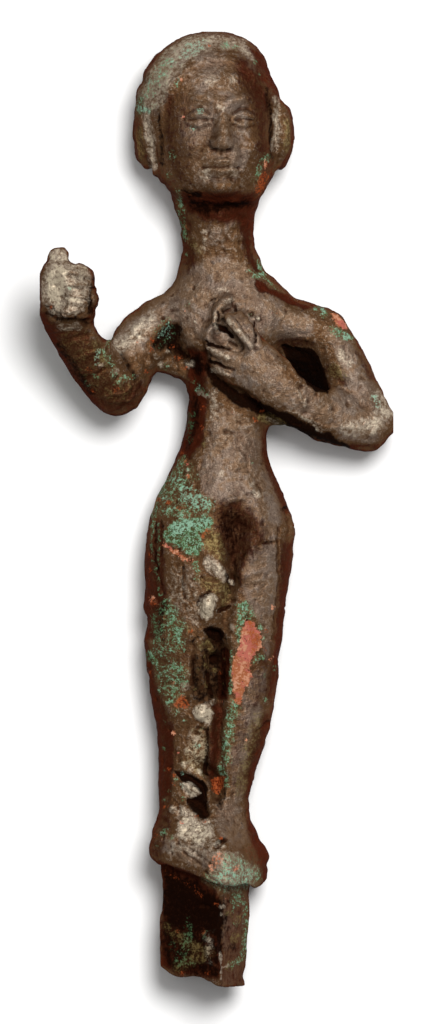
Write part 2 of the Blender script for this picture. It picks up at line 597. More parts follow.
# The mesh carries the painted fields three by three, each three in one colour attribute
layers = {
    "growth": ("green", "mint", "pink"),
    "stain": ("rust", "pale", "dark"),
    "earth": ("olive", "grey", "shade"),
}

# The unseen side's own patches: noise, its sign, where it starts and in how much it is full, strength
unseen = {
    "green": ("drift", 1, 0.35, 0.6, 0.8),
    "mint": ("drift", 1, 0.75, 0.4, 0.6),
    "pink": ("stray", 1, 0.85, 0.3, 0.9),
    "rust": ("stray", 1, 0.6, 0.4, 0.5),
    "pale": ("drift", -1, 0.7, 0.5, 0.4),
    "dark": ("stray", -1, 0.2, 0.9, 0.5),
    "olive": ("stray", -1, 0.6, 0.5, 0.4),
    "grey": ("drift", -1, -0.4, 0.8, 0.6),
    "shade": ("stray", -1, -0.2, 0.9, 0.6),
}

# Where each growth lies on the front: strokes in the photograph's pixels with their strengths
strokes = {
    "green": {
        "hairLeft": ((148, 94, 9, 0.33), (158, 76, 9, 0.33), (168, 62, 9, 0.3)),
        "hairLeftLow": ((141, 100, 5, 0.44), (139, 112, 4, 0.37)),
        "hairTop": [(224, 44, 6, 0.37), (236, 48, 6, 0.3)],
        "hairRight": [(256, 62, 4, 0.26), (259, 74, 4, 0.26)],
        "temple": [(176, 84, 5, 0.33)],
        "cheek": [(172, 156, 6, 0.26), (170, 176, 5, 0.3)],
        "jawRight": ((267, 157, 6, 0.48), (259, 170, 4, 0.48), (254, 181, 4, 0.33)),
        "neckLeft": ((178, 190, 4, 0.37), (182, 214, 5, 0.44), (184, 238, 5, 0.37)),
        "neckLow": [(186, 252, 4, 0.3)],
        "neckShoulder": ((257, 260, 3, 0.4), (261, 271, 3.6, 0.54), (270, 284, 3.2, 0.46),
            (277, 290, 3, 0.3)),
        "neckShoulderInner": ((250, 272, 4, 0.34), (257, 276, 4.4, 0.42)),
        "upperArmEdge": ((111, 337, 3, 0.37), (107, 345, 3, 0.37)),
        "forearmInner": ((102, 350, 4, 0.3), (112, 364, 4, 0.37), (114, 375, 4, 0.37)),
        "forearmPatch": ((116, 384, 6, 0.3), (124, 379, 5, 0.32), (132, 378, 4, 0.26)),
        "forearmFlecks": [(97, 375, 5, 0.33), (88, 384, 5, 0.3)],
        "armpitWeb": ((156, 329, 7, 0.22), (168, 321, 6, 0.26), (173, 334, 6, 0.22), (160, 345, 6, 0.22)),
        "armpitFoot": [(166, 367, 4, 0.44)],
        "sideTop": ((194, 380, 4, 0.4), (199, 388, 5, 0.46), (205, 394, 4, 0.36)),
        "sideLow": ((191, 414, 4, 0.33), (190, 440, 4, 0.37)),
        "chestFlecks": [(187, 304, 5, 0.22), (251, 315, 4, 0.26)],
        "shoulderAbove": ((317, 308, 4, 0.41), (326, 314, 5, 0.48)),
        "shoulderBelow": ((331, 329, 4, 0.44), (340, 333, 6, 0.59), (350, 337, 5, 0.48)),
        "waistTop": ((184, 457, 4, 0.41), (181, 466, 5, 0.44)),
        "waistEdge": ((164, 480, 6, 0.55), (156, 500, 6, 0.6), (153, 516, 4, 0.5)),
        "bellyFlecks": [(196, 478, 6, 0.22), (238, 457, 3, 0.3), (252, 462, 3, 0.26)],
        "flankStreakA": ((152, 522, 2.4, 0.41), (153, 556, 2.4, 0.41), (160, 594, 2.4, 0.41)),
        "flankStreakB": ((159, 524, 1.8, 0.41), (160, 566, 1.8, 0.37)),
        "thighStreak": ((195, 562, 4, 0.45), (197, 578, 4, 0.4)),
        "thighFlank": ((165, 600, 4, 0.5), (170, 614, 8, 0.6), (177, 632, 8, 0.7), (179, 646, 4, 0.6)),
        "thighEdge": ((153, 616, 3.4, 0.5), (157, 640, 3.4, 0.6)),
        "thighEdgeLow": ((149, 655, 4, 0.7), (156, 662, 5, 0.7)),
        "shinLeft": [(159, 692, 4, 0.3), (165, 722, 4, 0.34), (164, 748, 4, 0.34), (168, 792, 4, 0.34)],
        "kneeLow": [(176, 712, 5, 0.41), (184, 722, 5, 0.3)],
        "patchRim": [(260, 626, 4, 0.44), (264, 638, 3, 0.37)],
        "patchRimLow": ((254, 660, 5, 0.33), (262, 657, 4, 0.37)),
        "patchRimLeft": ((231, 652, 2.4, 0.41), (230, 700, 2.6, 0.52)),
        "shinLow": ((221, 768, 4, 0.6), (228, 786, 4, 0.5)),
        "calfRight": [(266, 676, 5, 0.26), (274, 668, 3, 0.37), (266, 700, 4, 0.26)],
        "footLeft": [(166, 770, 3, 0.33), (164, 802, 4, 0.3), (164, 832, 5, 0.33)],
        "shinEdge": [(176, 780, 3, 0.65), (183, 800, 3, 0.6)],
        "plinthLeft": [(171, 838, 4, 0.3), (158, 846, 4, 0.26)],
        "tangEdge": ((245, 905, 4, 0.37), (246, 935, 4, 0.41), (243, 958, 5, 0.37), (232, 966, 5, 0.33)),
        "tangRight": [(232, 912, 4, 0.26), (236, 924, 4, 0.22)],
        "tangStreak": ((187, 918, 4, 0.26), (189, 936, 6, 0.36), (184, 952, 8, 0.3)),
        "tangLeftLow": ((172, 946, 5, 0.26), (178, 962, 6, 0.3), (194, 962, 5, 0.3)),
        "tangLumps": [(206, 934, 6, 0.3)],
    },
    "mint": {
        "nose": [(200, 112, 4, 0.6)],
        "cheek": [(193, 128, 4, 0.5)],
        "slab": [(197, 746, 4, 0.45), (184, 774, 3, 0.5), (182, 786, 3, 0.5)],
        "hairSpecks": [(150, 84, 5, 0.28), (157, 72, 5, 0.28), (172, 62, 5, 0.32)],
        "hairEarBand": ((139, 108, 4, 0.7), (149, 111, 3, 0.7)),
        "temple": [(177, 82, 3, 0.5)],
        "waistTop": [(176, 478, 6, 0.45), (165, 500, 6, 0.35)],
        "elbow": ((375, 396, 4, 0.5), (379, 406, 4, 0.55)),
        "shoulder": [(346, 335, 5, 0.6), (322, 311, 4, 0.45)],
        "thigh": [(178, 640, 5, 0.4), (245, 610, 4, 0.5)],
        "shin": [(232, 716, 4, 0.5), (229, 742, 4, 0.45)],
        "forearm": ((99, 350, 3, 0.36), (97, 362, 3, 0.32)),
        "fist": [(72, 290, 4, 0.35)],
        "sideTop": [(198, 387, 3, 0.5)],
        "armpit": ((160, 334, 5, 0.3), (167, 325, 5, 0.36), (171, 335, 4, 0.28)),
    },
    "pink": {
        "waistSpot": [(186, 463, 2.6, 0.9), (187, 476, 2.4, 0.8)],
        "hipLine": ((164, 545, 2.8, 0.9), (174, 551, 3.2, 1.0), (184, 557, 2.6, 0.9),
            (192, 560, 1.8, 0.7)),
        "flankKnob": [(152, 599, 4, 0.75)],
        "neckSpot": [(266, 165, 3.4, 1.0)],
        "thighDot": [(273, 607, 2.6, 0.9)],
        "calfDots": [(271, 659, 3, 0.7), (270, 642, 2.4, 0.6)],
        "templeFleck": [(181, 81, 2.2, 0.9)],
        "cheekFleck": [(183, 118, 2.2, 0.9)],
        "crownFleck": [(210, 45, 2.2, 0.8)],
        "shinFlecks": [(174, 733, 3.2, 0.8), (177, 752, 2.6, 0.8), (222, 702, 2.4, 0.7)],
        "calfLow": [(247, 741, 2.6, 0.6)],
        "upperArmFlecks": [(138, 342, 2.6, 0.6), (185, 309, 2.4, 0.4)],
        "footFlecks": [(182, 823, 2.6, 0.7), (176, 839, 3, 0.5)],
        "plinthFleck": [(236, 868, 4, 0.8)],
        "elbowFleck": [(362, 424, 4, 0.4)],
        "tangFleck": [(228, 899, 2.2, 0.6)],
    },
    "rust": {
        "jawRight": ((264, 176, 5, 0.85), (259, 190, 5, 0.7)),
        "neckLeft": [(187, 228, 3, 0.7), (180, 233, 3, 0.5)],
        "armpit": [(152, 340, 2.6, 1.0), (151, 349, 2.8, 1.0)],
        "armpitInner": [(172, 347, 3, 0.6), (178, 357, 4, 0.45), (186, 368, 4, 0.4)],
        "armpitLow": [(147, 371, 2.6, 0.9), (182, 370, 3, 0.5)],
        "elbow": [(90, 370, 4, 0.45), (116, 390, 3.6, 0.8), (92, 391, 3, 0.45)],
        "side": [(201, 408, 3, 0.7), (201, 428, 3, 0.6)],
        "waistEdge": [(182, 452, 3, 0.6), (166, 470, 3, 0.55)],
        "waistSpots": [(169, 503, 2.8, 1.0), (179, 507, 2.4, 1.0), (158, 501, 3, 0.8)],
        "waistRim": ((155, 495, 4, 0.5), (151, 512, 3, 0.5)),
        "waistSpotRing": [(186, 460, 4, 0.5), (189, 478, 3, 0.5)],
        "hipSpots": [(208, 531, 3, 0.8), (204, 536, 3, 0.6)],
        "flankLeft": [(150, 556, 3, 0.7), (149, 570, 3, 0.6)],
        "flankKnobRim": [(153, 604, 6, 0.6)],
        "thighDot": [(165, 618, 2.6, 0.6)],
        "kneeSpot": ((181, 699, 4.6, 0.95), (176, 704, 4, 0.8), (185, 705, 4, 0.7)),
        "kneeFlecks": [(171, 683, 3, 0.5), (151, 672, 3, 0.5)],
        "patchFoot": [(238, 700, 4, 0.7)],
        "patchTop": ((250, 627, 7, 0.56), (257, 639, 6, 0.6), (252, 652, 5, 0.54)),
        "patchMiddle": [(246, 672, 4, 0.5)],
        "patchSide": [(264, 650, 3, 0.4)],
        "pitFlecks": [(192, 631, 3, 0.7), (221, 673, 2.4, 0.8)],
        "shinEdge": [(170, 770, 3, 0.7), (175, 777, 2.6, 0.8), (174, 784, 2.4, 0.5)],
        "heelRim": [(196, 815, 2.4, 0.7), (204, 820, 2.4, 0.7)],
        "footLeft": [(165, 808, 4, 0.45), (158, 835, 4, 0.45)],
        "plinthNotch": [(221, 838, 2.4, 0.7)],
        "plinthCrack": [(228, 882, 2.4, 0.5)],
        "tangBand": ((165, 872, 3, 0.22), (184, 881, 3, 0.25), (202, 896, 3, 0.22)),
        "tangRim": [(218, 905, 3, 0.4), (204, 932, 3, 0.4), (178, 932, 3, 0.5)],
        "tangLow": [(182, 972, 4, 0.4), (208, 974, 4, 0.4)],
        "webSpots": [(256, 420, 3, 0.8), (263, 412, 3, 0.5)],
        "fistSpot": [(52.6, 308, 2.4, 1.0)],
        "calfDots": [(266, 631, 2.6, 0.6)],
        "chestDots": [(271, 314, 2, 0.6), (278, 312, 2, 0.6), (233, 413, 2, 0.5)],
    },
    "pale": {
        "fistFingers": ((68, 300, 3.4, 0.95), (81, 302, 3.4, 0.9)),
        "fistFingersTop": ((66, 291, 4, 0.6), (84, 292, 3.4, 0.6)),
        "wristPatch": ((60, 328, 5, 0.35), (78, 327, 5, 0.4)),
        "upperArm": ((120, 345, 9, 0.8), (138, 332, 12, 0.8), (150, 318, 9, 0.55)),
        "upperArmSpot": [(140, 337, 4, 1.0)],
        "armpitLumps": [(160, 364, 4, 0.7), (155, 355, 4, 0.45), (168, 352, 3, 0.4)],
        "elbowInner": [(115, 370, 4, 0.6), (101, 366, 3.4, 0.4)],
        "earLeft": ((145, 112, 5, 0.6), (149, 135, 6, 0.75), (154, 165, 5, 0.65)),
        "earRight": ((275, 100, 4.4, 0.5), (277, 125, 5, 0.65), (275, 150, 4.4, 0.5)),
        "brow": [(210, 82, 7, 0.55), (234, 79, 6, 0.5)],
        "noseBridge": [(222, 108, 5, 0.4)],
        "chin": [(206, 176, 7, 0.45), (232, 172, 7, 0.4)],
        "neck": ((205, 231, 4, 0.3), (204, 246, 4, 0.25)),
        "handTop": ((227, 302, 3, 0.6), (231, 300, 3, 0.7)),
        "handGlint": [(258, 318, 2.4, 1.0)],
        "chestFlecks": [(221, 289, 3, 0.6), (226, 291, 2, 0.6), (196, 322, 2, 0.7)],
        "thumb": ((214, 313, 2.4, 0.4), (217, 330, 2.6, 0.5)),
        "stick": ((229, 320, 3, 0.6), (250, 346, 3, 0.6)),
        "fingers": ((209, 349, 3, 0.6), (228, 358, 3, 0.5)),
        "fingersLow": ((212, 369, 3, 0.6), (226, 374, 3, 0.5)),
        "besideGap": ((342, 355, 8, 0.45), (350, 364, 6, 0.4)),
        "elbow": ((350, 428, 9, 0.6), (372, 426, 10, 0.75), (386, 410, 9, 0.75), (378, 394, 6, 0.5)),
        "sideLump": [(190, 364, 5, 0.5)],
        "sideStreak": ((200, 391, 3, 0.5), (206, 396, 3, 0.6)),
        "sideLow": ((214, 394, 5, 0.4), (214, 420, 6, 0.35)),
        "waistSpot": [(187, 470, 2.8, 1.0)],
        "belly": [(258, 493, 5, 0.6), (222, 474, 5, 0.4), (252, 484, 4, 0.45)],
        "forearmRidge": ((290, 412, 1.8, 0.5), (310, 421, 1.8, 0.7), (324, 430, 1.8, 0.5)),
        "forearmScratch": ((296, 388, 1.6, 0.7), (303, 400, 1.6, 0.7), (305, 408, 1.4, 0.5)),
        "knobFoot": [(195, 620, 5, 0.5)],
        "slitEnd": [(231, 583, 3, 0.6)],
        "pitRim": [(196, 623, 5, 0.45), (232, 628, 5, 0.4)],
        "shinKnobSmall": [(213, 702, 4, 0.5)],
        "web": ((268, 420, 3, 0.5), (276, 423, 3, 0.5)),
        "slab": [(196, 739, 5, 0.6), (190, 752, 5, 0.35), (184, 766, 5, 0.5), (199, 772, 4, 0.7),
            (191, 770, 4, 0.5)],
        "patchLights": [(237, 684, 3.6, 1.0), (241, 674, 3, 0.8), (236, 690, 2.4, 0.8)],
        "patchDot": [(248, 648, 1.6, 0.9)],
        "kneeGrey": [(184, 686, 5, 0.6)],
        "ankle": [(173, 810, 4, 0.6), (213, 812, 4, 0.5)],
        "footNotch": [(225, 846, 2.6, 0.9)],
        "plinthSpots": [(212, 857, 2.6, 0.95), (215, 864, 2.4, 0.9)],
        "plinthBand": ((170, 850, 5, 0.35), (186, 848, 5, 0.45), (200, 856, 5, 0.4)),
        "tangSpecks": [(223, 907, 3, 0.6), (222, 914, 2, 0.4)],
        "tangLine": ((219.4, 953, 1.2, 0.6), (221, 980, 1.2, 0.6)),
        "tangLineAcross": ((222, 967, 1.2, 0.7), (231, 965, 1.2, 0.7)),
    },
    "dark": {
        "earLeftGroove": ((158, 108, 3, 0.5), (160, 130, 3, 0.55), (163, 165, 3, 0.5)),
        "earRightGroove": ((266, 88, 3, 0.5), (270, 120, 3, 0.6), (271, 158, 3, 0.5)),
        "sideLow": ((196, 396, 5, 0.6), (194, 430, 5, 0.6), (188, 448, 4, 0.5)),
        "handWedge": ((215, 325, 2.6, 1.0), (224, 330, 3.2, 1.0), (232, 337, 2.4, 1.0)),
        "handNotch": ((217, 312, 2.2, 0.7), (218, 320, 2.4, 0.7)),
        "thumbNotch": ((235, 306, 1.8, 0.7), (236, 312, 1.8, 0.6)),
        "chestPecks": [(212, 299, 1.8, 0.8), (216, 298, 1.8, 0.6)],
        "fanLine": ((254, 322, 1.2, 0.7), (254, 344, 1.2, 0.7)),
        "fingerLines": ((206, 342, 2.2, 0.9), (216, 347, 2, 0.9), (229, 350, 1.8, 0.7)),
        "fingerLinesLow": ((208, 361, 2.6, 0.8), (220, 365, 2.6, 0.8), (234, 369, 2.2, 0.6)),
        "fistHeel": ((46, 312, 4, 0.5), (62, 319, 4, 0.5), (78, 318, 4, 0.5), (88, 322, 4, 0.5)),
        "fistEdge": ((92, 286, 2.4, 0.7), (90, 300, 2, 0.7), (91, 314, 4, 0.6)),
        "fistLines": ((68, 278, 1.8, 0.4), (80, 279, 2, 0.6), (94, 280, 1.6, 0.6)),
        "fistLinesMiddle": ((68, 289, 1.8, 0.35), (80, 289, 1.8, 0.55), (94, 289, 1.6, 0.55)),
        "fistLinesLow": ((66, 300, 1.8, 0.35), (80, 301, 1.8, 0.55), (92, 300, 1.6, 0.55)),
        "fistRing": ((48, 306, 1.8, 0.7), (53, 313, 1.8, 0.8), (58, 308, 1.6, 0.7)),
        "forearmBands": ((60, 345, 5, 0.5), (74, 366, 6, 0.55), (92, 392, 6, 0.5)),
        "elbowInner": ((122, 350, 4, 0.4), (128, 364, 5, 0.5), (136, 380, 5, 0.5)),
        "groinEnd": ((227, 576, 2, 0.8), (229, 590, 2.2, 0.8)),
        "thighStep": ((183, 566, 2.4, 0.5), (184, 598, 2.6, 0.55)),
        "flankGrooveA": ((156, 524, 1.8, 0.5), (157, 560, 1.8, 0.5), (163, 594, 2, 0.4)),
        "flankGrooveB": ((162, 520, 1.6, 0.4), (162, 556, 1.6, 0.4)),
        "knobArc": ((197, 604, 1.8, 0.9), (201, 597, 1.8, 1.0), (210, 591, 1.6, 0.9)),
        "knobCrack": ((218, 611, 1.8, 0.9), (229, 606, 1.6, 0.8)),
        "hipCrack": ((262, 543, 1.3, 0.6), (275, 542, 1.2, 0.5)),
        "hipNotch": [(285, 508, 3, 0.7)],
        "flankShade": ((166, 604, 5, 0.6), (160, 616, 5, 0.6), (163, 640, 3, 0.5)),
        "pitBand": ((207, 672, 3, 0.8), (209, 686, 3.4, 0.9), (212, 697, 3, 0.8)),
        "pitLeft": ((196, 656, 5, 0.5), (195, 684, 6, 0.6), (200, 694, 6, 0.7)),
        "pitEdge": ((198, 636, 3, 0.6), (192, 644, 3, 0.5)),
        "shinGroove": ((208, 726, 2, 0.6), (208, 742, 2.2, 0.9), (206, 760, 3, 1.0),
            (206, 774, 2.6, 0.9)),
        "shinNick": ((197, 727, 2, 0.6), (206, 729, 2, 0.6)),
        "slabPecks": [(200, 737, 2, 0.5), (194, 752, 2, 0.4), (199, 768, 2, 0.5)],
        "ankleMiddle": ((220, 800, 4, 0.65), (222, 808, 3, 0.5)),
        "shinEdgeLine": ((227, 778, 1.4, 0.6), (224, 800, 1.4, 0.5)),
        "footDent": ((216, 845, 2.6, 0.8), (224, 839, 2.4, 0.7)),
        "tangSeam": ((222, 905, 2.4, 0.7), (220, 940, 2.2, 0.9), (219, 960, 2, 0.6)),
        "tangRightPatch": [(232, 946, 5, 0.5), (228, 930, 3, 0.4)],
        "jawLine": ((184, 190, 3, 0.6), (200, 196, 3, 0.7)),
    },
    "olive": {
        "web": ((262, 417, 5, 0.9), (272, 421, 6, 1.0), (284, 425, 4, 0.9)),
        "fist": [(84, 271, 6, 0.5)],
        "forearm": ((96, 344, 6, 0.5), (108, 366, 6, 0.5)),
        "pitKnob": ((208, 643, 4, 0.9), (212, 651, 4.4, 1.0)),
        "pitFlecks": [(204, 656, 2.6, 0.8), (207, 666, 2.6, 0.8), (205, 684, 3.4, 0.9),
            (215, 671, 3, 0.7), (200, 672, 3, 0.5), (196, 690, 3, 0.4), (225, 660, 2, 0.7),
            (224, 684, 2, 0.5)],
        "pitRim": [(190, 630, 5, 0.5), (200, 646, 5, 0.5)],
        "shinGroove": [(203, 752, 3, 0.5), (202, 764, 3, 0.5), (205, 744, 2.4, 0.5)],
        "calfLow": ((258, 716, 8, 0.4), (246, 760, 8, 0.4), (240, 790, 8, 0.35)),
        "tangRightMiddle": [(236, 938, 7, 0.5), (230, 966, 7, 0.5), (241, 960, 5, 0.4),
            (228, 914, 5, 0.4)],
        "sideFlecks": [(204, 444, 4, 0.4)],
        "earLeft": ((139, 130, 4, 0.6), (141, 158, 4, 0.5)),
        "earRight": ((286, 120, 4, 0.5), (287, 150, 4, 0.5)),
        "neck": ((190, 240, 6, 0.45), (200, 250, 6, 0.3)),
        "crook": ((334, 370, 8, 0.5), (346, 376, 7, 0.4)),
        "tangLow": ((166, 926, 6, 0.3), (186, 944, 9, 0.4), (208, 952, 8, 0.5), (178, 966, 8, 0.4)),
        "tangRight": [(236, 920, 6, 0.4)],
    },
    "grey": {
        "fistKnob": [(58, 256, 8, 0.7)],
        "cheekLeft": ((184, 106, 8, 0.6), (184, 132, 8, 0.6)),
        "thighLeft": ((190, 568, 7, 0.6), (190, 584, 6, 0.6)),
    },
    "shade": {
        "armLower": ((352, 446, 4, 0.7), (376, 446, 3, 0.6)),
        "forearmEdge": ((44, 318, 8, 0.9), (56, 350, 9, 0.95), (72, 380, 9, 0.95), (96, 404, 8, 0.8)),
        "armOuter": ((356, 350, 2.6, 0.5), (372, 378, 2.6, 0.5)),
        "hairTopEdge": ((190, 32, 3, 0.4), (240, 36, 3, 0.4)),
        "crook": ((329, 368, 6, 0.6), (344, 381, 6, 0.7)),
        "gapAbove": ((278, 342, 4, 0.5), (296, 341, 5, 0.6), (312, 344, 4, 0.5)),
        "chestRight": ((262, 318, 6, 0.3), (258, 338, 6, 0.3)),
        "mouthSide": ((262, 120, 6, 0.5), (258, 150, 5, 0.5)),
    },
}

